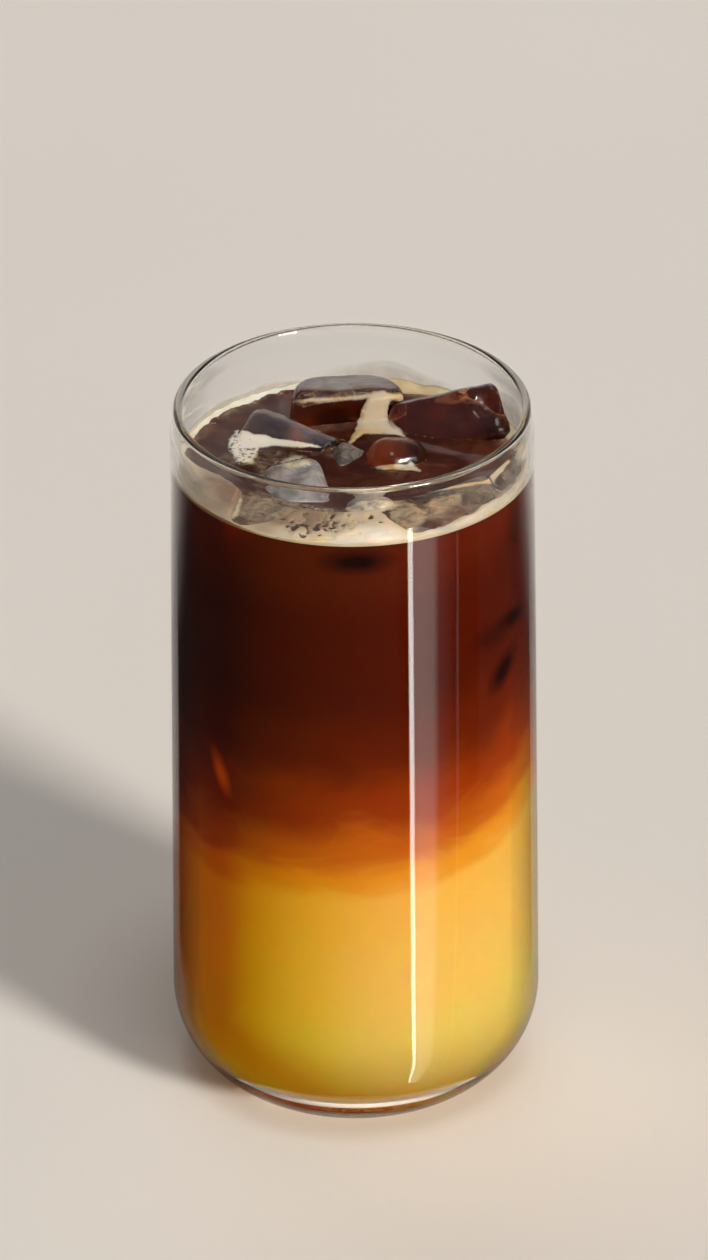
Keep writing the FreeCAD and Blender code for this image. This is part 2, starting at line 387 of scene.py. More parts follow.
def glass_outline():
    """Points (radius, height) from the middle of the underside, over the lip, to the floor's middle."""
    heel = (wall_radius(HEEL_Z, HEEL_ROUND), HEEL_Z)
    foot_step = HEEL_ROUND - FOOT_ROUND
    foot = (heel[0] + foot_step * math.cos(HEEL_TURN), heel[1] - foot_step * math.sin(HEEL_TURN))
    bearing = foot[0] - BEARING_WIDTH
    dome = [(bearing * i / 10, PUSH_UP * (1 - (i / 10) ** 2)) for i in range(11)]
    outside = arc(foot, FOOT_ROUND, math.pi / 2, HEEL_TURN, 8)
    outside += arc(heel, HEEL_ROUND, HEEL_TURN, -LEAN, 28)[1:]
    outside += [(wall_radius(z), z) for z in climb(outside[-1][1], SHOULDER, 40)]
    lip = (LIP_RADIUS - LIP_ROUND, HEIGHT - LIP_ROUND)
    neck = outside[-1]
    way = (0, LIP_DRAW)
    over = ease(neck, way, (LIP_RADIUS, lip[1]), way, 8)
    over += arc(lip, LIP_ROUND, 0, -math.pi, 14)[1:]
    inner_neck = (neck[0] - WALL, SHOULDER)
    down = (0, -LIP_DRAW)
    over += ease(over[-1], down, inner_neck, down, 8)
    return dome + outside + over + inside_outline(inner_neck[1])[1:]


def climb(low, high, steps):
    return [low + (high - low) * i / steps for i in range(1, steps + 1)]


def inside_outline(top, into_wall=0.0):
    """Points (radius, height) down the inside from a height to the middle of the floor."""
    heel_z = FLOOR_INSIDE + INNER_HEEL_ROUND
    heel = (wall_radius(heel_z, WALL + INNER_HEEL_ROUND), heel_z)
    round_radius = INNER_HEEL_ROUND + into_wall
    bend = arc(heel, round_radius, -LEAN, math.pi / 2, 32)
    wall = [(wall_radius(z, WALL - into_wall), z) for z in climb(top, bend[0][1], 40)[:-1]]
    first = (wall_radius(top, WALL - into_wall), top)
    floor = [(bend[-1][0] * (1 - i / 8), bend[-1][1]) for i in range(1, 9)]
    return [first] + wall + bend + floor


# ---------------------------------------------------------------- node helpers


def new_material(name):
    material = bpy.data.materials.new(name)
    material.use_nodes = True
    material.node_tree.nodes.clear()
    return material, material.node_tree


def add(tree, kind, **settings):
    made = tree.nodes.new(kind)
    for key, value in settings.items():
        setattr(made, key, value)
    return made


def join(tree, source, target):
    tree.links.new(source, target)


def feed(tree, socket, value):
    """A socket gets a number, a colour, or what another socket puts out."""
    if isinstance(value, (int, float)):
        socket.default_value = value
    elif isinstance(value, tuple):
        socket.default_value = (*value, 1.0)
    else:
        join(tree, value, socket)


def maths(tree, operation, a, b=None, clamp=False):
    """Math node whose inputs are sockets or numbers."""
    made = add(tree, "ShaderNodeMath", operation=operation, use_clamp=clamp)
    for socket, value in zip(made.inputs, (a, b)):
        if value is not None:
            feed(tree, socket, value)
    return made.outputs[0]


def object_place(tree):
    return add(tree, "ShaderNodeTexCoord").outputs["Object"]


def parts_of(tree, place):
    """X, Y and Z of a place, by name."""
    split = add(tree, "ShaderNodeSeparateXYZ")
    join(tree, place, split.inputs[0])
    return split.outputs


def stored(tree, name):
    """Number that the mesh holds for each vertex."""
    return add(tree, "ShaderNodeAttribute", attribute_name=name).outputs["Fac"]


def cloud(
    tree, place, scale, detail=3.0, roughness=0.55, distortion=0.0, stretch=(1, 1, 1), shift=(0, 0, 0)
):
    """Noise texture value at a place, stretched by a Mapping node."""
    mapping = add(tree, "ShaderNodeMapping")
    mapping.inputs["Scale"].default_value = stretch
    mapping.inputs["Location"].default_value = shift
    join(tree, place, mapping.inputs["Vector"])
    made = add(tree, "ShaderNodeTexNoise")
    made.inputs["Scale"].default_value = scale
    made.inputs["Detail"].default_value = detail
    made.inputs["Roughness"].default_value = roughness
    made.inputs["Distortion"].default_value = distortion
    join(tree, mapping.outputs[0], made.inputs["Vector"])
    return made.outputs["Fac"]


def ramp(tree, value, stops, mode="LINEAR"):
    """Colour ramp with (position, colour) stops."""
    made = add(tree, "ShaderNodeValToRGB")
    made.color_ramp.interpolation = mode
    elements = made.color_ramp.elements
    while len(elements) < len(stops):
        elements.new(0.5)
    for element, (position, colour) in zip(elements, stops):
        element.position = position
        element.color = (*colour, 1.0) if len(colour) == 3 else colour
    join(tree, value, made.inputs[0])
    return made.outputs["Color"]


def blend_colours(tree, factor, a, b, mode="MIX"):
    made = add(tree, "ShaderNodeMix", data_type="RGBA", blend_type=mode)
    for number, value in ((0, factor), (6, a), (7, b)):
        feed(tree, made.inputs[number], value)
    return made.outputs[2]


def span(tree, value, low, high, to_low=0.0, to_high=1.0):
    made = add(tree, "ShaderNodeMapRange")
    join(tree, value, made.inputs["Value"])
    made.inputs["From Min"].default_value = low
    made.inputs["From Max"].default_value = high
    made.inputs["To Min"].default_value = to_low
    made.inputs["To Max"].default_value = to_high
    return made.outputs["Result"]


def principled(tree, **sockets):
    """Principled shader with its constants on its own sockets."""
    made = add(tree, "ShaderNodeBsdfPrincipled")
    for key, value in sockets.items():
        made.inputs[key.replace("_", " ")].default_value = value
    return made


def output(tree, shader):
    join(tree, shader, add(tree, "ShaderNodeOutputMaterial").inputs["Surface"])


def bump(tree, height, strength, distance, shader):
    made = add(tree, "ShaderNodeBump")
    made.inputs["Strength"].default_value = strength
    made.inputs["Distance"].default_value = distance
    join(tree, height, made.inputs["Height"])
    join(tree, made.outputs[0], shader.inputs["Normal"])


def mix_shaders(tree, share, first, second):
    """Shader that goes from the first to the second as the share goes from 0 to 1."""
    mix = add(tree, "ShaderNodeMixShader")
    for socket, source in zip(mix.inputs, (share, first, second)):
        join(tree, source, socket)
    return mix.outputs[0]


def emission(tree, colour, strength):
    light = add(tree, "ShaderNodeEmission")
    feed(tree, light.inputs["Color"], colour)
    feed(tree, light.inputs["Strength"], strength)
    return light.outputs[0]


def background(tree, colour, strength=1.0):
    made = add(tree, "ShaderNodeBackground")
    feed(tree, made.inputs["Color"], colour)
    feed(tree, made.inputs["Strength"], strength)
    return made.outputs[0]


def bounced_share(tree):
    """1 once light has bounced off dull matter, 0 if it comes straight or mirrored to the camera."""
    path = add(tree, "ShaderNodeLightPath")
    return maths(tree, "MINIMUM", path.outputs["Diffuse Depth"], 1.0)


def lets_lamps_through(tree, shader, tint):
    """Shader that lamps shine through, so that what lies behind clear matter is lit."""
    path = add(tree, "ShaderNodeLightPath")
    clear = add(tree, "ShaderNodeBsdfTransparent")
    clear.inputs["Color"].default_value = (*tint, 1.0)
    return mix_shaders(tree, path.outputs["Is Shadow Ray"], shader, clear.outputs[0])


def new_group(name, inputs, outputs):
    """Shader node group with named sockets: (name, type, default) in, (name, type) out."""
    tree = bpy.data.node_groups.new(name, "ShaderNodeTree")
    for label, kind, default in inputs:
        made = tree.interface.new_socket(name=label, in_out="INPUT", socket_type=kind)
        if default is not None:
            made.default_value = default
    for label, kind in outputs:
        tree.interface.new_socket(name=label, in_out="OUTPUT", socket_type=kind)
    return tree, add(tree, "NodeGroupInput"), add(tree, "NodeGroupOutput")


def use_group(tree, group, **values):
    made = add(tree, "ShaderNodeGroup", node_tree=group)
    for key, value in values.items():
        feed(tree, made.inputs[key.replace("_", " ")], value)
    return made


# ---------------------------------------------------------------- shared effects

LAYERS_LOW = 0.0
LAYERS_HIGH = 140 * MM
LAYER_TILT = 0.02  # rise of the layers for each metre towards +X
LAYER_COLOURS = [  # height in millimetres and colour
    (0, (0.950, 0.590, 0.135)),
    (14, (0.950, 0.590, 0.135)),
    (36, (0.950, 0.550, 0.125)),
    (55, (0.935, 0.510, 0.090)),
    (61, (0.800, 0.345, 0.022)),
    (67, (0.560, 0.150, 0.008)),
    (76, (0.320, 0.044, 0.003)),
    (89, (0.140, 0.014, 0.002)),
    (103, (0.090, 0.008, 0.002)),
    (118, (0.092, 0.008, 0.002)),
    (130, (0.118, 0.014, 0.004)),
    (140, (0.140, 0.018, 0.005)),
]
PAINTED_SHADE_WAY = (0.695, -0.719, 0.0)  # painted shade: the drink is painted deeper and redder away from this way, where light has come far through the drink
PAINTED_SHADE_SPAN = (29 * MM, -8 * MM)
PAINTED_SHADE_TINT = [(0.0, (0.97, 0.98, 1)), (0.28, (1, 1, 0.36)), (0.6, (1, 1, 0.04)), (1.0, (1, 0.78, 0.01))]
LAYER_RISE = [(0.0, (0, 0, 0)), (0.35, (0.08,) * 3), (0.7, (0.38,) * 3), (1.0, (1, 1, 1))]
LAYER_CLIMB = 10.5 * MM  # of the layers up the right-hand wall
CLIMB_SPAN = (8 * MM, 36 * MM)  # of X over which they climb


def layers_group():
    """Colour of the drink at a place: juice below, coffee above, with wisps where they meet, painted
    marks at the wall, and painted shade that makes it deeper and redder away from the lit side.
    """
    group, given, out = new_group(
        "drink_layers", [("Place", "NodeSocketVector", None)], [("Color", "NodeSocketColor")]
    )
    place = given.outputs["Place"]
    parts = parts_of(group, place)
    slope = maths(group, "MULTIPLY", parts["X"], LAYER_TILT)
    tilted = maths(group, "SUBTRACT", parts["Z"], slope)
    rise = ramp(group, span(group, parts["X"], *CLIMB_SPAN), LAYER_RISE)
    tilted = maths(group, "SUBTRACT", tilted, maths(group, "MULTIPLY", rise, LAYER_CLIMB))
    broad = cloud(group, place, 26.0, detail=2.0, distortion=0.4, stretch=(1, 1, 1.2))
    wisps = cloud(group, place, 55.0, detail=3.0, distortion=1.2, stretch=(1, 1, 1.8), shift=(3, 1, 7))
    near = ramp(group, span(group, parts["Z"], 40 * MM, 115 * MM), [
        (0.0, (0, 0, 0)), (0.35, (1, 1, 1)), (0.6, (1, 1, 1)), (1.0, (0.15, 0.15, 0.15)),
    ])
    broad_move = span(group, broad, 0.3, 0.7, -3 * MM, 3 * MM)
    wisp_move = span(group, wisps, 0.3, 0.7, -2.2 * MM, 2.2 * MM)
    swirl = maths(group, "ADD", broad_move, wisp_move)
    moved = maths(group, "ADD", tilted, maths(group, "MULTIPLY", swirl, near))
    height = span(group, moved, LAYERS_LOW, LAYERS_HIGH)
    stops = [(z * MM / (LAYERS_HIGH - LAYERS_LOW), colour) for z, colour in LAYER_COLOURS]
    base = ramp(group, height, stops, mode="EASE")
    pulp = cloud(group, place, 700.0, detail=2.0, roughness=0.6)
    pulpy = span(group, pulp, 0.35, 0.75, 0.0, 0.10)
    colour = blend_colours(group, pulpy, base, (1.0, 0.72, 0.25), mode="MULTIPLY")
    # painted shade of ice sunk against the wall, as darker marks; the one gain above 1 is a lighter,
    # yellower streak
    for x, y, z, wide, high, tilt, gain in WALL_MARKS_PAINTED_SHADE_AND_STREAK:
        turned = add(group, "ShaderNodeMapping", vector_type="TEXTURE")
        turned.inputs["Location"].default_value = (x * MM, y * MM, z * MM)
        turned.inputs["Rotation"].default_value = (0, math.radians(tilt), math.atan2(x, -y))
        turned.inputs["Scale"].default_value = (wide * MM, 6 * MM, high * MM)
        join(group, place, turned.inputs["Vector"])
        length = add(group, "ShaderNodeVectorMath", operation="LENGTH")
        join(group, turned.outputs[0], length.inputs[0])
        mark = span(group, length.outputs["Value"], 1.25, 0.35)
        gains = (gain, gain * 1.7 if gain > 1 else gain, gain)
        marked = blend_colours(group, 1.0, colour, gains, mode="MULTIPLY")
        colour = blend_colours(group, mark, colour, marked)
    # painted shade: deeper and redder the further a place lies from the lit side
    along = add(group, "ShaderNodeVectorMath", operation="DOT_PRODUCT")
    join(group, place, along.inputs[0])
    along.inputs[1].default_value = PAINTED_SHADE_WAY
    depth = span(group, along.outputs["Value"], *PAINTED_SHADE_SPAN)
    shade_tint = ramp(group, depth, PAINTED_SHADE_TINT)
    colour = blend_colours(group, 1.0, colour, shade_tint, mode="MULTIPLY")
    join(group, colour, out.inputs["Color"])
    return group


def ripple_group():
    """Height of two sizes of soft unevenness, for cast glass, melted ice and still liquid."""
    group, given, out = new_group(
        "soft_ripple",
        [
            ("Place", "NodeSocketVector", None),
            ("Broad", "NodeSocketFloat", 60.0),
            ("Fine", "NodeSocketFloat", 400.0),
            ("Fine Share", "NodeSocketFloat", 0.2),
        ],
        [("Height", "NodeSocketFloat")],
    )
    heights = []
    for size in ("Broad", "Fine"):
        made = add(group, "ShaderNodeTexNoise")
        made.inputs["Detail"].default_value = 2.0
        join(group, given.outputs["Place"], made.inputs["Vector"])
        join(group, given.outputs[size], made.inputs["Scale"])
        heights.append(made.outputs["Fac"])
    fine = maths(group, "MULTIPLY", heights[1], given.outputs["Fine Share"])
    join(group, maths(group, "ADD", heights[0], fine), out.inputs["Height"])
    return group


LAYERS = layers_group()
RIPPLE = ripple_group()


# ---------------------------------------------------------------- materials


def glass_material():
    """Clear glass, plainer to look through where it is seen at a slant."""
    material, tree = new_material("clear_glass")
    shader = principled(
        tree,
        Base_Color=(0.985, 0.992, 0.990, 1),
        Roughness=0.0,
        IOR=GLASS_IOR,
        Transmission_Weight=1.0,
    )
    ripple = use_group(tree, RIPPLE, Place=object_place(tree), Broad=28.0, Fine=120.0, Fine_Share=0.1)
    bump(tree, ripple.outputs[0], 0.12, 0.6 * MM, shader)
    slant = add(tree, "ShaderNodeLayerWeight")
    slant.inputs["Blend"].default_value = 0.5
    straight = add(tree, "ShaderNodeBsdfTransparent")
    share = span(tree, slant.outputs["Facing"], 0.5, 1.0, 0.0, 0.75)
    clearer = mix_shaders(tree, share, shader.outputs[0], straight.outputs[0])
    output(tree, lets_lamps_through(tree, clearer, (0.93, 0.94, 0.935)))
    return material


def drink_material():
    """Drink as it shows through the wall: no gloss of its own, and light that wanders inside it."""
    material, tree = new_material("layered_drink")
    shader = principled(
        tree,
        Roughness=0.6,
        Subsurface_Weight=1.0,
        Subsurface_Radius=(1.0, 0.09, 0.02),
        Subsurface_Scale=80 * MM,
        Specular_IOR_Level=0.0,
    )
    layers = use_group(tree, LAYERS, Place=object_place(tree))
    join(tree, layers.outputs[0], shader.inputs["Base Color"])
    output(tree, mirror_at_a_slant(tree, shader.outputs[0]))
    return material


def mirror_at_a_slant(tree, shader):
    """Glass against drink: light that meets it at a slant from inside the thick base is thrown back."""
    fresnel = add(tree, "ShaderNodeFresnel")
    fresnel.inputs["IOR"].default_value = DRINK_IOR / GLASS_IOR
    mirror = principled(tree, Base_Color=(1, 1, 1, 1), Metallic=1.0, Roughness=0.0)
    return mix_shaders(tree, fresnel.outputs[0], shader, mirror.outputs[0])


def coffee_surface_material():
    """The open surface: dark and wet, with thin veils of crema."""
    material, tree = new_material("coffee_surface")
    place = object_place(tree)
    shader = principled(
        tree,
        Roughness=0.04,
        IOR=1.34,
        Specular_IOR_Level=0.12,
        Subsurface_Weight=0.3,
        Subsurface_Radius=(1.0, 0.3, 0.1),
        Subsurface_Scale=3 * MM,
    )
    swirl = cloud(tree, place, 120.0, detail=5.0, distortion=1.3)
    colour = ramp(tree, swirl, [
        (0.0, (0.032, 0.006, 0.003)),
        (0.45, (0.042, 0.008, 0.0035)),
        (0.62, (0.072, 0.017, 0.007)),
        (0.80, (0.150, 0.060, 0.026)),
    ])
    torn = cloud(tree, place, 260.0, detail=5.0, roughness=0.6, distortion=0.6, shift=(1, 4, 2))
    veil = maths(tree, "MULTIPLY", stored(tree, "veil"), span(tree, torn, 0.38, 0.62), clamp=True)
    foamy = blend_colours(tree, maths(tree, "MULTIPLY", veil, 0.62), colour, (0.40, 0.27, 0.17))
    join(tree, foamy, shader.inputs["Base Color"])
    ripple = use_group(tree, RIPPLE, Place=place, Broad=90.0, Fine=500.0, Fine_Share=0.12)
    bump(tree, ripple.outputs[0], 0.25, 0.5 * MM, shader)
    output(tree, shader.outputs[0])
    return material


def coffee_round_ice_material():
    """Coffee as it shows through the ice that sits in it, with a painted amber glow of light through the
    ice, and crema caught along the waterline.
    """
    material, tree = new_material("coffee_round_ice")
    place = object_place(tree)
    shader = principled(tree, Roughness=0.5, Specular_IOR_Level=0.0)
    tint = cloud(tree, place, 110.0, detail=3.0, distortion=0.8)
    dark = ramp(tree, tint, [
        (0.35, (0.022, 0.004, 0.002)),
        (0.60, (0.060, 0.011, 0.004)),
        (0.75, (0.110, 0.026, 0.008)),
    ])
    patchy = span(tree, tint, 0.2, 0.6, 0.6, 1.0)
    # painted glow: the "amber" attribute says where light through the ice is painted into the coffee as
    # amber
    painted_glow = maths(tree, "MULTIPLY", stored(tree, "amber"), patchy, clamp=True)
    colour = blend_colours(tree, painted_glow, dark, (0.330, 0.085, 0.012))
    ragged = cloud(tree, place, 210.0, detail=3.0, shift=(2, 2, 5))
    uneven = span(tree, ragged, 0.3, 0.7, -0.9 * MM, 0.6 * MM)
    up = maths(tree, "ADD", parts_of(tree, place)["Z"], uneven)
    line = span(tree, up, LEVEL - 0.7 * MM, LEVEL - 0.2 * MM)
    foamy = blend_colours(tree, maths(tree, "MULTIPLY", line, 0.6), colour, (0.42, 0.30, 0.19))
    join(tree, foamy, shader.inputs["Base Color"])
    output(tree, shader.outputs[0])
    return material


def crema_material(name, skin=False):
    """Fine dense foam with burst bubbles, browner where it is thin or painted with shade, and whiter
    where "thin" is negative.

    A skin also thins out to nothing at its edges.
    """
    material, tree = new_material(name)
    place = object_place(tree)
    shader = principled(
        tree,
        Roughness=0.38,
        Subsurface_Weight=0.9,
        Subsurface_Radius=(1.0, 0.6, 0.32),
        Subsurface_Scale=2.0 * MM,
        Specular_IOR_Level=0.16,
    )
    blotch = cloud(tree, place, 105.0, detail=4.0, distortion=0.5)
    tone = ramp(tree, blotch, [
        (0.32, (0.580, 0.370, 0.140)),
        (0.50, (0.690, 0.552, 0.370)),
        (0.68, (0.738, 0.636, 0.492)),
    ])
    # the "thin" attribute also carries painted shade on the front foam
    thin = stored(tree, "thin")
    uneven = span(tree, blotch, 0.3, 0.7, -0.15, 0.15)
    weak = span(tree, maths(tree, "ADD", thin, uneven), 0.0, 1.0)
    tone = blend_colours(tree, weak, tone, (0.250, 0.155, 0.090))
    tone = blend_colours(tree, span(tree, thin, 0.0, -0.5), tone, (0.880, 0.790, 0.670))
    cells = add(tree, "ShaderNodeTexVoronoi", feature="F1")
    cells.inputs["Scale"].default_value = 1900.0
    join(tree, place, cells.inputs["Vector"])
    grain = cloud(tree, place, 900.0, detail=3.0, roughness=0.6)
    edge = maths(tree, "ADD", stored(tree, "pit"), span(tree, grain, 0.3, 0.7, -0.3, 0.3))
    hole = span(tree, edge, 0.42, 0.62)
    colour = blend_colours(tree, maths(tree, "MULTIPLY", hole, 0.92), tone, (0.050, 0.022, 0.012))
    join(tree, colour, shader.inputs["Base Color"])
    lumps = maths(tree, "MULTIPLY", cells.outputs["Distance"], -0.35)
    raised = maths(tree, "ADD", lumps, blotch)
    height = maths(tree, "SUBTRACT", raised, maths(tree, "MULTIPLY", hole, 0.8))
    bump(tree, height, 0.35, 0.3 * MM, shader)
    if skin:
        cover = stored(tree, "cover")
        torn = cloud(tree, place, 330.0, detail=5.0, roughness=0.65, distortion=0.7, shift=(4, 4, 1))
        bare = maths(tree, "MULTIPLY", cover, maths(tree, "SUBTRACT", 1.0, cover))
        tear = maths(tree, "MULTIPLY", bare, span(tree, torn, 0.3, 0.7, -1.9, 1.9))
        join(tree, span(tree, maths(tree, "ADD", cover, tear), 0.06, 0.94), shader.inputs["Alpha"])
    output(tree, shader.outputs[0])
    return material


def film_material():
    """Thin film of crema left on the wall, torn where it has run down."""
    material, tree = new_material("crema_film")
    place = object_place(tree)
    shader = principled(tree, Roughness=0.4, Base_Color=(0.62, 0.54, 0.42, 1))
    grain = cloud(tree, place, 380.0, detail=4.0, roughness=0.65, stretch=(1, 1, 0.6))
    torn = span(tree, grain, 0.30, 0.70, 0.70, 1.1)
    alpha = maths(tree, "MULTIPLY", stored(tree, "film"), torn, clamp=True)
    join(tree, alpha, shader.inputs["Alpha"])
    output(tree, shader.outputs[0])
    return material


def bubble_material():
    """Small bubbles: a thin skin of drink that shows mostly as gloss and a pale edge."""
    material, tree = new_material("bubble_skin")
    shader = principled(tree, Base_Color=(0.62, 0.47, 0.34, 1), Roughness=0.06, IOR=1.33)
    rim = add(tree, "ShaderNodeLayerWeight")
    rim.inputs["Blend"].default_value = 0.35
    clear = add(tree, "ShaderNodeBsdfTransparent")
    share = span(tree, rim.outputs["Facing"], 0.0, 0.8, 0.25, 0.9)
    output(tree, mix_shaders(tree, share, clear.outputs[0], shader.outputs[0]))
    return material


def ice_material(name, cloudiness, milk, stain, sky_sheen_strength=0.32, rough=0.01, body=None):
    """Ice stained by coffee, with a painted grey reflection of the sky on its upper faces.

    Cloudiness is how much shows inside of its milky white, or of its body colour if it has one.
    """
    material, tree = new_material(name)
    place = object_place(tree)
    shader = principled(
        tree, Base_Color=(*stain, 1), Roughness=rough, IOR=1.31, Transmission_Weight=1.0
    )
    ripple = use_group(tree, RIPPLE, Place=place, Broad=130.0, Fine=520.0, Fine_Share=0.22)
    bump(tree, ripple.outputs[0], 0.3, 0.9 * MM, shader)
    white = principled(tree, Roughness=0.3, Base_Color=(*milk, 1), Subsurface_Weight=0.5)
    white.inputs["Subsurface Scale"].default_value = 2 * MM
    painted_sky_sheen = stored(tree, "painted_sky_sheen")
    if body:
        streaks = cloud(tree, place, 90.0, detail=4.0, distortion=1.0, shift=(5, 2, 3))
        tone = ramp(tree, streaks, [(0.35, tuple(0.5 * part for part in body)), (0.7, body)])
        join(tree, blend_colours(tree, painted_sky_sheen, tone, milk), white.inputs["Base Color"])
    streak = cloud(tree, place, 150.0, detail=5.0, roughness=0.65, distortion=0.4, stretch=(0.35, 1, 1))
    # painted reflection of the sky: grey milky white on the faces turned to it
    grey = maths(tree, "MULTIPLY", painted_sky_sheen, span(tree, streak, 0.36, 0.68, 0.3 * sky_sheen_strength, sky_sheen_strength))
    drift = cloud(tree, place, 190.0, detail=5.0, roughness=0.68, distortion=0.5)
    cloudy = span(tree, drift, 0.40, 0.66, 0.4 * cloudiness, cloudiness)
    share = maths(tree, "MAXIMUM", grey, cloudy)
    both = mix_shaders(tree, share, shader.outputs[0], white.outputs[0])
    output(tree, lets_lamps_through(tree, both, (0.86, 0.85, 0.86)))
    return material


def floor_material():
    """Pale floor; to gloss and bounced light it is darker, so that it doesn't veil the dark drink. Near
    the glass bounced light finds a painted warm pool of light, and under the glass a painted glow shows
    through the base.
    """
    material, tree = new_material("studio_floor")
    place = object_place(tree)
    parts = parts_of(tree, place)
    path = add(tree, "ShaderNodeLightPath")
    through = path.outputs["Is Transmission Ray"]
    bounced = bounced_share(tree)
    tone = cloud(tree, place, 3.0, detail=2.0)
    pale = ramp(tree, tone, [(0.3, (0.86, 0.80, 0.72)), (0.7, (0.90, 0.84, 0.76))])
    away = maths(tree, "ADD", *(maths(tree, "MULTIPLY", parts[axis], parts[axis]) for axis in "XY"))
    # painted pool of warm light near the glass, seen only by bounced light
    close = span(tree, away, *(radius**2 for radius in PAINTED_WARM_POOL))
    close = maths(tree, "MULTIPLY", close, bounced)
    warm = blend_colours(tree, close, (0.042, 0.038, 0.036), (0.62, 0.46, 0.16))
    seen, felt = (principled(tree, Roughness=1.0, Specular_IOR_Level=0.0) for _ in range(2))
    join(tree, pale, seen.inputs["Base Color"])
    join(tree, warm, felt.inputs["Base Color"])
    past = maths(tree, "SUBTRACT", 1.0, through)
    mirrored = maths(tree, "MULTIPLY", path.outputs["Is Glossy Ray"], past)
    gloss = maths(tree, "MULTIPLY", mirrored, span(tree, parts["Y"], *MIRROR_DARK))
    either = maths(tree, "MAXIMUM", gloss, bounced)
    mix = mix_shaders(tree, either, seen.outputs[0], felt.outputs[0])
    # painted glow under the glass, standing in for the bright reflections in its base
    below = span(tree, away, *(radius**2 for radius in PAINTED_GLOW_UNDER_GLASS), 0.0, 0.45)
    fresh = maths(tree, "MULTIPLY", through, maths(tree, "SUBTRACT", 1.0, bounced))
    under_glass_glow = emission(tree, (1.0, 0.95, 0.90), maths(tree, "MULTIPLY", below, fresh))
    both = add(tree, "ShaderNodeAddShader")
    join(tree, mix, both.inputs[0])
    join(tree, under_glass_glow, both.inputs[1])
    output(tree, both.outputs[0])
    return material


def fresh_share(tree):
    """1 for light that comes straight or mirrored to the camera, 0 once it has bounced."""
    return maths(tree, "SUBTRACT", 1.0, bounced_share(tree))


def glow_material():
    """Fan of light for the streaks of gloss down the wall: bright core, wide veil, faint second line."""
    material, tree = new_material("gloss_fan")
    parts = parts_of(tree, object_place(tree))
    turn = maths(tree, "ARCTAN2", parts["X"], maths(tree, "MULTIPLY", parts["Y"], -1.0))
    share = span(tree, turn, math.radians(FAN_FROM), math.radians(FAN_TO))
    stops = []
    for degrees, strength in FAN_PROFILE:
        stops.append(((degrees - FAN_FROM) / (FAN_TO - FAN_FROM), (strength,) * 3))
    strength = maths(tree, "MULTIPLY", ramp(tree, share, stops), FAN_PEAK)
    strength = maths(tree, "MULTIPLY", strength, fresh_share(tree))
    output(tree, emission(tree, (1.0, 0.95, 0.88), strength))
    return material


# ---------------------------------------------------------------- pieces


def make_glass():
    tumbler = finish_mesh("tumbler", spin_outline(glass_outline()))
    give(tumbler, glass_material())
    add_piece(tumbler, "glass", slot="clear_glass")


def make_ice_block(node):
    """Block of ice with melted, uneven faces, shaped from its CAD solid."""
    bm = bmesh.new()
    bm.from_mesh(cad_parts[node].data)
    bmesh.ops.remove_doubles(bm, verts=bm.verts, dist=1e-6)
    block = finish_mesh(node + "_melted", bm)
    remesh = block.modifiers.new("even", "REMESH")
    remesh.mode = "VOXEL"
    remesh.voxel_size = ICE_GRAIN
    soften = block.modifiers.new("soften", "SMOOTH")
    soften.factor = 0.6
    soften.iterations = 6
    apply_modifiers(block)
    bm = joined([block])
    bm.normal_update()
    for vert in bm.verts:
        broad = noise.noise(vert.co * 140 + Vector((3, 7, 1)))
        fine = noise.noise(vert.co * 420)
        vert.co += vert.normal * (ICE_BROAD * broad + ICE_FINE * fine - ICE_MELT)
    for face in bm.faces:
        face.smooth = True
    bm.normal_update()
    # painted reflection of the sky: faces turned up and back, above the drink, get a share of grey
    painted_sky_sheen = []
    for vert in bm.verts:
        upward = step_up(vert.normal.dot(PAINTED_SKY_SHEEN_WAY), PAINTED_SKY_SHEEN_FROM.get(node, PAINTED_SKY_SHEEN_USUAL), 0.97)
        painted_sky_sheen.append(upward * step_up(vert.co.z, LEVEL + 0.3 * MM, LEVEL + 1.5 * MM))
    bm.to_mesh(block.data)
    bm.free()
    set_attribute(block, "painted_sky_sheen", painted_sky_sheen)
    return block


def make_cutter(blocks):
    """The blocks of ice shrunk a little, as one mesh that cuts drink and foam."""
    bm = joined(blocks)
    bm.normal_update()
    for vert in bm.verts:
        vert.co -= vert.normal * INTO_ICE
    return finish_mesh("ice_cutter", bm)


def cut_round_ice(obj, cutter):
    cut = obj.modifiers.new("round_ice", "BOOLEAN")
    cut.operation = "DIFFERENCE"
    cut.solver = "MANIFOLD"
    cut.object = cutter
    apply_modifiers(obj)


def make_drink(cutter):
    brim = inside_outline(LEVEL + MENISCUS, INTO_WALL)
    top_radius = brim[0][0]
    surface = []
    for i in range(1, SURFACE_STEPS + 1):
        r = top_radius * (1 - i / SURFACE_STEPS)
        rise = MENISCUS * math.exp(-(top_radius - r) / MENISCUS_REACH)
        surface.append((r, LEVEL + rise))
    outline = surface[::-1] + brim
    bm = spin_outline(outline)
    for face in bm.faces:
        side = face.normal.z < 0.5
        face.material_index = 0 if side else 1
    drink = finish_mesh("drink", bm)
    give(drink, drink_material(), coffee_surface_material(), coffee_round_ice_material())
    cutter.data.materials.clear()
    cut_round_ice(drink, cutter)
    mark_ice_hollows(drink, cutter)
    set_attribute(drink, "veil", [veil_at(v.co) for v in drink.data.vertices])
    # the "amber" attribute holds the painted glow of light through the ice
    set_attribute(drink, "amber", [painted_amber_glow_at(v.co) for v in drink.data.vertices])
    add_piece(drink, "orange_juice", "mixed_band", "espresso", slot="coffee")


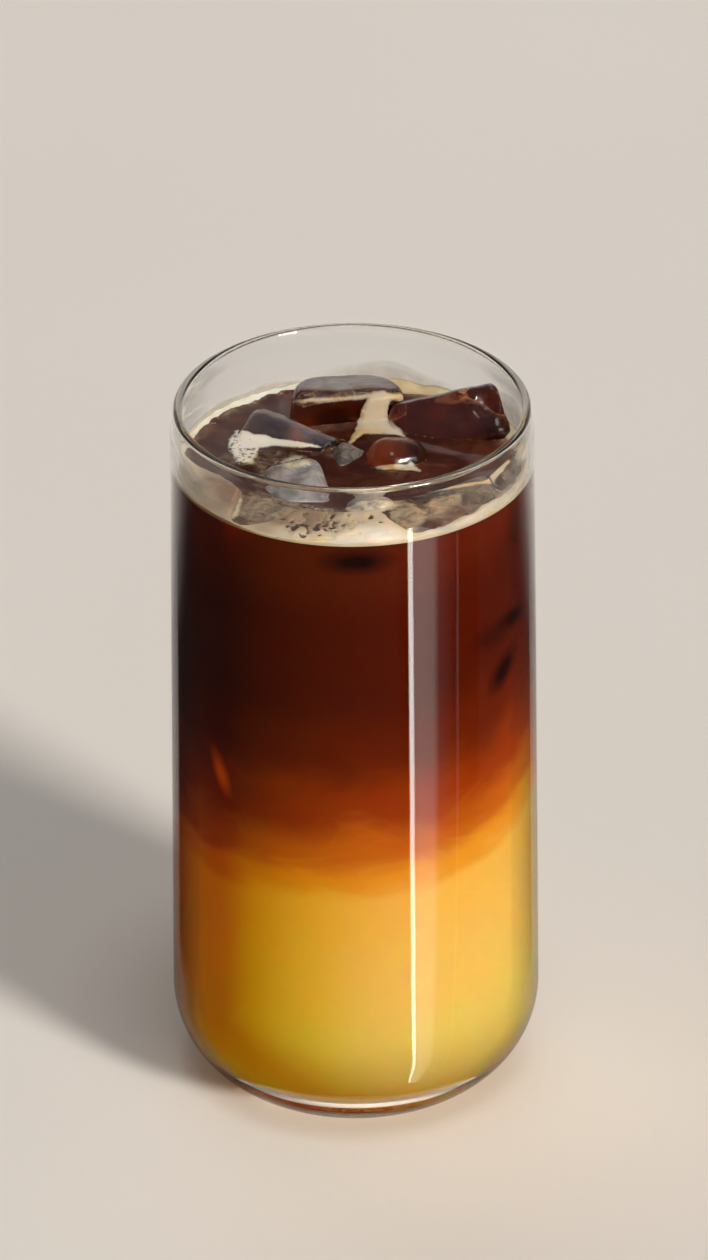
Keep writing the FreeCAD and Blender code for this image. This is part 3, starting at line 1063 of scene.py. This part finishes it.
def veil_at(place):
    """How much thin crema lies on the drink: along the ring's inner edge and in some patches."""
    degrees = math.degrees(math.atan2(place.y, place.x))
    gap = inner_radius(LEVEL) - lobes(math.radians(degrees)) - math.hypot(place.x, place.y)
    veil = math.exp(-max(gap, 0.0) / (0.9 * MM))
    for x, y, reach, strength in THIN_CREMA:
        away = math.hypot(place.x - x * MM, place.y - y * MM) / (reach * MM)
        veil += strength * math.exp(-(away**2))
    return min(veil, 1.4)


# how much painted amber glow, of light through the ice, the coffee gets at a place
def painted_amber_glow_at(place):
    painted_glow = 0.0
    for x, y, above, reach in PAINTED_AMBER_GLOW:
        away = (place - Vector((x * MM, y * MM, LEVEL + above * MM))).length / (reach * MM)
        painted_glow = max(painted_glow, math.exp(-(away**2)))
    return painted_glow


def mark_ice_hollows(obj, cutter):
    """Faces that lie on the cutter get the material of coffee seen through ice."""
    bm = joined([cutter])
    tree = BVHTree.FromBMesh(bm)
    bm.free()
    for face in obj.data.polygons:
        found = tree.find_nearest(face.center, 0.05 * MM)
        if found[0] is not None:
            face.material_index = 2
    obj.data.set_sharp_from_angle(angle=math.radians(50))


def lobes(angle):
    """Width of the foam ring at an angle round the glass."""
    return CREMA_WIDTH + sum(
        reach * near_angle(math.degrees(angle), place, spread, square)
        for place, spread, reach, square in CREMA_LOBES
    )


def pit_places():
    """Places and sizes of the burst bubbles: (x, y, reach) in metres."""
    chance = random.Random(11)
    places = []
    for _ in range(PIT_COUNT):
        x = PIT_MIDDLE[0] + chance.gauss(0, PIT_SPREAD[0])
        y = PIT_MIDDLE[1] + chance.gauss(0, PIT_SPREAD[1])
        places.append((x * MM, y * MM, 0.15 * MM + chance.random() ** 4 * 0.65 * MM))
    return places


def pit_at(place, pits):
    deepest = 0.0
    for x, y, reach in pits:
        away = ((place.x - x) ** 2 + (place.y - y) ** 2) / reach**2
        if away < 6:
            deepest = max(deepest, math.exp(-(away**1.5)))
    return deepest


def thin_and_painted_shade_at(place):
    """How thin and brown the foam is: more away from the wall, more or less in some places, and browner
    at the front as painted shade.
    """
    inwards = inner_radius(LEVEL) - math.hypot(place.x, place.y)
    thin = 0.5 * step_up(inwards, 2.0 * MM, 8 * MM)
    for x, y, wide, long, brown in FOAM_TONES_AND_PAINTED_SHADE:
        thin += brown * math.exp(-(((place.x / MM - x) / wide) ** 2) - ((place.y / MM - y) / long) ** 2)
    return max(-0.4, thin) * (0.85 + 0.5 * noise.noise(place * 260))


def make_crema(cutter, foam):
    """Foam ring: a ragged inner edge that thins out, and a bead that climbs the wall."""
    pits = pit_places()
    low, wide = 2 * MM, 30 * MM  # of a flat ring whose radii become shares of the foam's width
    top = [(low + wide * i / CREMA_ACROSS, LEVEL + 1 * MM) for i in range(CREMA_ACROSS + 1)]
    bottom = [(r, LEVEL - 1 * MM) for r, z in reversed(top)]
    bm = spin_outline(top + bottom, closed=True, steps=CREMA_STEPS)
    for vert in bm.verts:
        share = (math.hypot(vert.co.x, vert.co.y) - low) / wide
        angle = math.atan2(vert.co.y, vert.co.x)
        upper = vert.co.z > LEVEL
        out = Vector((math.cos(angle), math.sin(angle), 0))
        ragged = sum(size * MM * noise.noise(out * often) for size, often in CREMA_RAGGED)
        width = max(lobes(angle) + ragged, 0.8 * MM)
        outer = inner_radius(CREMA_TOP) + INTO_WALL
        radius = outer - (1 - share) * (width + INTO_WALL)
        edge = min(1.0, share * width / (1.3 * MM))
        rounded = math.sqrt(max(0.0, 1 - (1 - edge) ** 2))
        here = out * radius
        lump = 0.35 * MM * noise.noise(here * 260) + 0.16 * MM * noise.noise(here * 700)
        degrees = math.degrees(angle)
        bead = BEAD_HIGH * math.exp(-(outer - radius) / BEAD_REACH)
        bead *= (1 - 0.75 * near_angle(degrees, 130, 60)) * (1 + 0.6 * noise.noise(out * 4))
        swell = sum(h * near_angle(degrees, place, spread) for place, spread, h in CREMA_SWELLS)
        swell *= min(1.0, (outer - radius) / (2 * MM))
        if upper:
            z = LEVEL + rounded * (CREMA_HIGH + swell + lump) + bead - 0.5 * MM * pit_at(here, pits)
        else:
            z = CREMA_LOW + 0.35 * MM * noise.noise(out * 6) + 0.2 * MM * (1 - rounded)
        vert.co = (here.x, here.y, z)
    bmesh.ops.recalc_face_normals(bm, faces=bm.faces)
    ring = finish_mesh("crema_ring", bm)
    give(ring, foam)
    cut_round_ice(ring, cutter)
    set_attribute(ring, "pit", [pit_at(v.co, pits) for v in ring.data.vertices])
    # the "thin" attribute also carries painted shade on the front foam
    set_attribute(ring, "thin", [thin_and_painted_shade_at(v.co) for v in ring.data.vertices])
    ring.data.set_sharp_from_angle(angle=math.radians(60))
    add_piece(ring, "crema", slot="foam")


def closed_curve(points, steps):
    """Smooth closed curve through points: (x, up) pairs, steps for each point."""
    count = len(points)
    curve = []
    for i in range(count):
        before, here, there, after = (Vector(points[(i + k) % count]) for k in (-1, 0, 1, 2))
        for j in range(steps):
            t = j / steps
            point = 2 * here + (there - before) * t
            point += (2 * before - 5 * here + 4 * there - after) * t**2
            point += (3 * here - before - 3 * there + after) * t**3
            curve.append(0.5 * point)
    return curve


def depth_inside(points, x, up):
    """Depth in millimetres of places (x, up) within a smooth closed outline; negative outside."""
    edge = [tuple(point) for point in closed_curve(points, 6)]
    nearest = np.full(x.shape, 1e9)
    inside = np.zeros(x.shape, dtype=bool)
    for (ax, ay), (bx, by) in zip(edge, edge[1:] + edge[:1]):
        wide, high = bx - ax, by - ay
        along = np.clip(((x - ax) * wide + (up - ay) * high) / (wide**2 + high**2 + 1e-12), 0, 1)
        nearest = np.minimum(nearest, np.hypot(x - ax - along * wide, up - ay - along * high))
        if high:
            inside ^= ((ay > up) != (by > up)) & (x < ax + wide * (up - ay) / high)
    return np.where(inside, nearest, -nearest)


def smooth_step(value, low, high):
    t = np.clip((value - low) / (high - low), 0, 1)
    return t * t * (3 - 2 * t)


def waver(x, up):
    """How far a place on an outline is moved (x, up), in millimetres, so that no edge runs straight."""
    broad, fine = Vector((x * 0.55, up * 0.9, 3)), Vector((x * 2.1, up * 3.0, 8))
    other = Vector((0, 0, 10))
    return (
        0.42 * noise.noise(broad) + 0.16 * noise.noise(fine),
        0.26 * noise.noise(broad + other) + 0.10 * noise.noise(fine + other),
    )


def skin_fields(x, up):
    """Cover, tone, burst and lift in metres of the thin crema at places (x, up) in millimetres."""
    shift = np.array([waver(a, b) for a, b in zip(x, up)])
    x = x + shift[:, 0]
    up = up + shift[:, 1]
    open_share = np.ones(x.shape)
    total = np.full(x.shape, 1e-6)
    tone, burst, lift = np.zeros(x.shape), np.zeros(x.shape), np.zeros(x.shape)
    for thickness, brown, holes, dense, soft, border, points in DRAPES:
        depth = depth_inside(points, x, up)
        share = dense * smooth_step(depth, -soft, soft)
        share = share * (1 - border * smooth_step(depth, 0.5 * soft, 0.5 * soft + 0.9))
        open_share *= 1 - share
        total += share
        tone += share * brown
        burst += share * holes
        lift = np.maximum(lift, thickness * smooth_step(depth, -0.3, 0.9))
    return 1 - open_share, tone / total, burst / total, lift


def widest(face):
    """Longest way between two corners of a face."""
    return max((a.co - b.co).length for a in face.verts for b in face.verts)


def make_drapes(blocks):
    """Thin crema that lies between the blocks and over them: a fine sheet laid on whatever is below."""
    bm = joined(blocks)
    flat = Matrix.Translation((0, 0, LEVEL))
    bmesh.ops.create_circle(bm, cap_ends=True, radius=inner_radius(LEVEL), segments=64, matrix=flat)
    ground = BVHTree.FromBMesh(bm)
    bm.free()
    lay = Vector((0, math.cos(LAY_DOWN), -math.sin(LAY_DOWN)))
    rise = Vector((0, math.sin(LAY_DOWN), math.cos(LAY_DOWN)))
    start = Vector((0, 0, LEVEL)) - lay * 0.2
    half = [0.5 * SKIN_STEP * steps for steps in SKIN_STEPS]
    middle = Vector((SKIN_FROM[0] + half[0], SKIN_FROM[1] + half[1], 0))
    bm = bmesh.new()
    bmesh.ops.create_grid(
        bm,
        x_segments=SKIN_STEPS[0],
        y_segments=SKIN_STEPS[1],
        size=1,
        matrix=Matrix.Translation(middle) @ Matrix.Diagonal((*half, 1, 1)),
    )
    kept = [bm.verts.layers.float.new(name) for name in ("cover", "thin", "pit")]
    verts = list(bm.verts)
    cover, tone, burst, lift = skin_fields(*(np.array([v.co[k] for v in verts]) for k in (0, 1)))
    bare = []
    for vert, fields, high in zip(verts, zip(cover, tone, burst), lift):
        origin = start + Vector((vert.co.x * MM, 0, 0)) + rise * (vert.co.y * MM)
        hit = ground.ray_cast(origin, lay)[0] if fields[0] > LEAST_COVER else None
        if hit is None:
            bare.append(vert)
            continue
        vert.co = hit - lay * (high + SKIN_OFF)
        for layer, value in zip(kept, fields):
            vert[layer] = value
    bmesh.ops.delete(bm, geom=bare, context="VERTS")
    stretched = [face for face in bm.faces if widest(face) >= SKIN_TEAR]
    bmesh.ops.delete(bm, geom=stretched, context="FACES_ONLY")
    for items, context in ((bm.edges, "EDGES"), (bm.verts, "VERTS")):
        loose = [item for item in items if not item.link_faces]
        bmesh.ops.delete(bm, geom=loose, context=context)
    skin = finish_mesh("crema_skin", bm)
    soften = skin.modifiers.new("soften", "SMOOTH")
    soften.factor = 0.5
    soften.iterations = 2
    apply_modifiers(skin)
    give(skin, crema_material("crema_skin", skin=True))
    add_piece(skin, "crema_patch", slot="foam")


def film_at(place):
    degrees = math.degrees(math.atan2(place.y, place.x))
    out = Vector((place.x, place.y, 0)).normalized()
    up = place.z - LEVEL
    most = 0.0
    for middle, spread, height, strength in FILMS:
        height *= 1 + 0.35 * noise.noise(out * 3.5)
        height *= 0.35 + 0.65 * near_angle(degrees, middle, spread, 2)
        fade = 1 - step_up(up, height * 0.55, height)
        edge = 0.35 * math.exp(-(((up - height * 0.86) / (0.35 * MM)) ** 2))
        most = max(most, near_angle(degrees, middle, spread) * strength * (fade + edge))
    return most


def make_film():
    heights = climb(LEVEL + FILM_SPAN[0], LEVEL + FILM_SPAN[1], 40)
    outer = [(inner_radius(z) - FILM_OFF, z) for z in heights]
    inner = [(r - FILM_THICK, z) for r, z in reversed(outer)]
    film = finish_mesh("wall_film", spin_outline(outer + inner, closed=True, steps=360))
    set_attribute(film, "film", [film_at(v.co) for v in film.data.vertices])
    give(film, film_material())
    add_piece(film, slot="foam")


def make_bubbles(blocks):
    """Small bubbles at the foam's edge and where the blocks meet, sitting on whatever is there."""
    chance = random.Random(5)
    bm = joined(blocks)
    ice = BVHTree.FromBMesh(bm)
    bm.free()
    places = []
    for start, end, inwards, spread, count in BUBBLE_TRAILS:
        for _ in range(count):
            a = math.radians(chance.uniform(start, end))
            r = inner_radius(LEVEL) - (inwards + chance.uniform(-spread, spread)) * MM
            places.append((r * math.cos(a), r * math.sin(a)))
    for x, y, spread, count in BUBBLE_PATCHES:
        for _ in range(count):
            places.append((chance.gauss(x, spread * 0.6) * MM, chance.gauss(y, spread * 0.6) * MM))
    bm = bmesh.new()
    for x, y in places:
        hit = ice.ray_cast(Vector((x, y, HEIGHT)), Vector((0, 0, -1)))[0]
        ground = max(LEVEL, hit.z) if hit else LEVEL
        size = chance.choice(BUBBLE_SIZES) * MM
        seat = Matrix.Translation((x, y, ground + 0.1 * MM)) @ Matrix.Diagonal((1, 1, 0.75, 1))
        bmesh.ops.create_icosphere(bm, subdivisions=2, radius=size, matrix=seat)
    bubbles = finish_mesh("bubbles", bm)
    give(bubbles, bubble_material())
    add_piece(bubbles, slot="foam")


def make_contents():
    blocks = [make_ice_block(node) for node in ICE_NODES]
    cutter = make_cutter(blocks)
    foam = crema_material("crema_foam")
    make_drink(cutter)
    make_crema(cutter, foam)
    make_drapes(blocks)
    make_film()
    make_bubbles(blocks)
    bpy.data.objects.remove(cutter)
    # the fourth number is the strength of the ice's painted grey reflection of the sky
    clear = ice_material("clear_ice", 0.02, (0.42, 0.33, 0.33), (0.86, 0.70, 0.64), 0.62)
    brown = ice_material("brown_ice", 0.0, (0.52, 0.43, 0.40), (0.66, 0.40, 0.32), 0.48)
    dark = ice_material(
        "dark_ice", 0.17, (0.42, 0.34, 0.37), (0.56, 0.20, 0.09), 0.42, body=(0.30, 0.045, 0.010)
    )
    amber = ice_material("amber_ice", 0.0, (0.46, 0.30, 0.20), (0.84, 0.42, 0.16), 0.08, rough=0.16)
    shard = ice_material("shard_ice", 0.34, (0.50, 0.41, 0.37), (0.92, 0.78, 0.70), 0.55)
    cloudy = ice_material("cloudy_ice", 0.90, (0.50, 0.44, 0.41), (0.94, 0.92, 0.92))
    creamy = ice_material("creamy_ice", 0.75, (0.58, 0.48, 0.38), (0.90, 0.84, 0.76))
    kinds = {
        "ice_front_left": cloudy,
        "ice_front": creamy,
        "ice_right": dark,
        "ice_back": brown,
        "ice_front_right": brown,
        "ice_corner": shard,
        "ice_middle": amber,
    }
    for node, block in zip(ICE_NODES, blocks):
        give(block, kinds.get(node, clear))
        add_piece(block, node, slot="ice")


# ---------------------------------------------------------------- studio

CAMERA_PITCH = math.radians(29.29)
CAMERA_ROLL = math.radians(0.40)
CAMERA_AWAY = 2.0
CAMERA_TARGET = Vector((0.08 * MM, 0, 98.1 * MM))
CAMERA_LENS = 289.46
CAMERA_SENSOR = 36
MIDDLE = Vector((0, 0, HEIGHT * 0.5))


def make_camera():
    data = bpy.data.cameras.new("camera")
    data.lens = CAMERA_LENS
    data.sensor_width = CAMERA_SENSOR
    data.clip_start = 0.1
    data.clip_end = 50
    camera = bpy.data.objects.new("camera", data)
    bpy.context.scene.collection.objects.link(camera)
    forward = Vector((0, math.cos(CAMERA_PITCH), -math.sin(CAMERA_PITCH)))
    up = Vector((0, math.sin(CAMERA_PITCH), math.cos(CAMERA_PITCH)))
    right = Vector((1, 0, 0))
    rolled_right = right * math.cos(CAMERA_ROLL) - up * math.sin(CAMERA_ROLL)
    rolled_up = up * math.cos(CAMERA_ROLL) + right * math.sin(CAMERA_ROLL)
    turn = Matrix((rolled_right, rolled_up, -forward)).transposed().to_4x4()
    camera.matrix_world = Matrix.Translation(CAMERA_TARGET - forward * CAMERA_AWAY) @ turn
    bpy.context.scene.camera = camera


def around(azimuth, elevation, distance, middle):
    """Place at an azimuth (0 towards the camera, 90 to its right) and elevation, in degrees."""
    a, e = math.radians(azimuth), math.radians(elevation)
    way = Vector((math.sin(a) * math.cos(e), -math.cos(a) * math.cos(e), math.sin(e)))
    return middle + distance * way


def hide_from(obj, *rays):
    """Rays of these kinds pass the object by."""
    for kind in rays:
        setattr(obj, "visible_" + kind, False)


def make_far_light(name, azimuth, elevation, spread, strength, colour, gloss):
    """Soft light from far away, so that the floor is lit evenly; spread is its width in degrees."""
    data = bpy.data.lights.new(name, "SUN")
    data.angle = math.radians(spread)
    data.energy = strength
    data.color = colour
    lamp = bpy.data.objects.new(name, data)
    lamp.location = around(azimuth, elevation, 2.0, MIDDLE)
    lamp.rotation_euler = (MIDDLE - lamp.location).to_track_quat("-Z", "Y").to_euler()
    lamp.visible_camera = False
    lamp.visible_glossy = gloss
    bpy.context.scene.collection.objects.link(lamp)


KEY_AZIMUTH = 44
KEY_ELEVATION = 32
KEY_COLOUR = (1.0, 0.97, 0.93)
FAR_LIGHTS = [  # name, azimuth, elevation and spread in degrees, strength, colour, whether it glints
    ("key", KEY_AZIMUTH, KEY_ELEVATION, 10, 2.4, KEY_COLOUR, True),
    ("top", 20, 80, 19, 0.62, (1, 1, 1), True),
    ("fill", -70, 25, 35, 0.03, (1, 1, 1), True),
    ("back", 195, 28, 50, 0.55, (1, 1, 1), False),
]
LOW_SIZE = (100 * MM, 40 * MM)
LOW_PLACE = (8 * MM, -62 * MM, 2 * MM)
LOW_COLOUR = (1.0, 0.70, 0.32)
LOW_POWER = 0.010
GLINT_AWAY = 1.2
GLINT_RADIUS = 0.14
GLINT_STRENGTH = 120.0
SKY = [  # share of the way from below to above, and colour
    (0.0, (0.52, 0.49, 0.45)),
    (0.15, (0.34, 0.32, 0.30)),
    (0.34, (0.14, 0.135, 0.145)),
    (0.60, (0.15, 0.145, 0.165)),
    (0.80, (0.36, 0.36, 0.42)),
    (1.0, (0.44, 0.45, 0.52)),
]
SKY_FELT = 0.22  # strength of the sky as light on dull matter
SKY_THROUGH = (0.50, 0.465, 0.43)  # what is seen through clear matter
SKY_OPEN = (0.665, 0.612, 0.552)  # what the camera sees past the floor
MIRROR_DARK = (240 * MM, 170 * MM)  # of Y, between which the floor turns dark to mirrored light
PAINTED_WARM_POOL = (130 * MM, 80 * MM)  # from the glass's axis, where a warm pool of light is painted on the floor for bounced light
PAINTED_GLOW_UNDER_GLASS = (37 * MM, 33 * MM)  # from the glass's axis, where the floor under it glows, seen only through the glass, as a painted reflection in the base
FAN_PLACE = 18.2  # azimuth of the foot of the glass where the fan starts, in degrees
FAN_REACH = (8 * MM, 260 * MM)
FAN_STEPS = 24
FAN_FROM = 28.0  # azimuths of the fan of light, in degrees
FAN_TO = 88.0
FAN_PEAK = 16.0
FAN_PROFILE = [  # azimuth and share of the peak
    (28.0, 0.0),
    (34.2, 0.0),
    (35.2, 1.0),
    (37.4, 1.0),
    (38.6, 0.13),
    (41.0, 0.16),
    (52.0, 0.14),
    (57.0, 0.02),
    (69.5, 0.0),
    (71.0, 0.035),
    (72.5, 0.0),
    (88.0, 0.0),
]


def make_fan():
    """Fan of light that lies just over the floor and shows only as streaks of gloss down the wall."""
    bm = bmesh.new()
    bmesh.ops.create_grid(bm, x_segments=FAN_STEPS, y_segments=1, size=1)
    for vert in bm.verts:
        azimuth = FAN_FROM + (FAN_TO - FAN_FROM) * (vert.co.x + 1) / 2
        vert.co = around(azimuth, 0, FAN_REACH[vert.co.y > 0], Vector())
    fan = finish_mesh("gloss_fan", bm, smooth=False)
    fan.location = around(FAN_PLACE, 0, BODY_RADIUS, Vector((0, 0, 2 * MM)))
    give(fan, glow_material())
    hide_from(fan, "camera", "diffuse", "transmission", "shadow")


def make_glint():
    """Small bright disc beside the key that shows only as glints on rim and ice."""
    bm = bmesh.new()
    place = around(KEY_AZIMUTH, KEY_ELEVATION, GLINT_AWAY, MIDDLE)
    turn = (MIDDLE - place).to_track_quat("-Z", "Y").to_matrix().to_4x4()
    bmesh.ops.create_circle(bm, cap_ends=True, radius=GLINT_RADIUS, segments=32, matrix=turn)
    glint = finish_mesh("glint", bm, smooth=False)
    glint.location = place
    material, tree = new_material("glint_light")
    strength = maths(tree, "MULTIPLY", fresh_share(tree), GLINT_STRENGTH)
    output(tree, emission(tree, KEY_COLOUR, strength))
    give(glint, material)
    hide_from(glint, "camera", "diffuse", "transmission", "shadow")


def make_world():
    """Sky with a warm floor's light below and a cool one above; dull matter feels less of it."""
    world = bpy.data.worlds.new("studio")
    world.use_nodes = True
    tree = world.node_tree
    tree.nodes.clear()
    way = add(tree, "ShaderNodeTexCoord").outputs["Generated"]
    sky = ramp(tree, parts_of(tree, way)["Z"], SKY)
    path = add(tree, "ShaderNodeLightPath")
    bounced = bounced_share(tree)
    fresh = maths(tree, "SUBTRACT", path.outputs["Is Transmission Ray"], bounced, clamp=True)
    seen = mix_shaders(tree, bounced, background(tree, sky), background(tree, sky, SKY_FELT))
    seen = mix_shaders(tree, fresh, seen, background(tree, SKY_THROUGH))
    seen = mix_shaders(tree, path.outputs["Is Camera Ray"], seen, background(tree, SKY_OPEN))
    join(tree, seen, add(tree, "ShaderNodeOutputWorld").inputs["Surface"])
    bpy.context.scene.world = world


def make_low_light():
    """Light that comes back up from the floor in front and warms the heel."""
    data = bpy.data.lights.new("low", "AREA")
    data.shape = "RECTANGLE"
    data.size, data.size_y = LOW_SIZE
    data.energy = LOW_POWER
    data.color = LOW_COLOUR
    lamp = bpy.data.objects.new("low", data)
    lamp.location = LOW_PLACE
    lamp.rotation_euler = (math.pi, 0, 0)
    hide_from(lamp, "camera", "glossy", "transmission")
    bpy.context.scene.collection.objects.link(lamp)


def make_studio():
    bm = bmesh.new()
    bmesh.ops.create_circle(bm, cap_ends=True, radius=8.0, segments=96)
    floor = finish_mesh("studio_floor", bm, smooth=False)
    give(floor, floor_material())
    make_world()
    for light in FAR_LIGHTS:
        make_far_light(*light)
    make_low_light()
    make_fan()
    make_glint()


scene = bpy.context.scene
scene.view_settings.view_transform = "Standard"
scene.view_settings.look = "None"

make_camera()
make_studio()
make_glass()
make_contents()
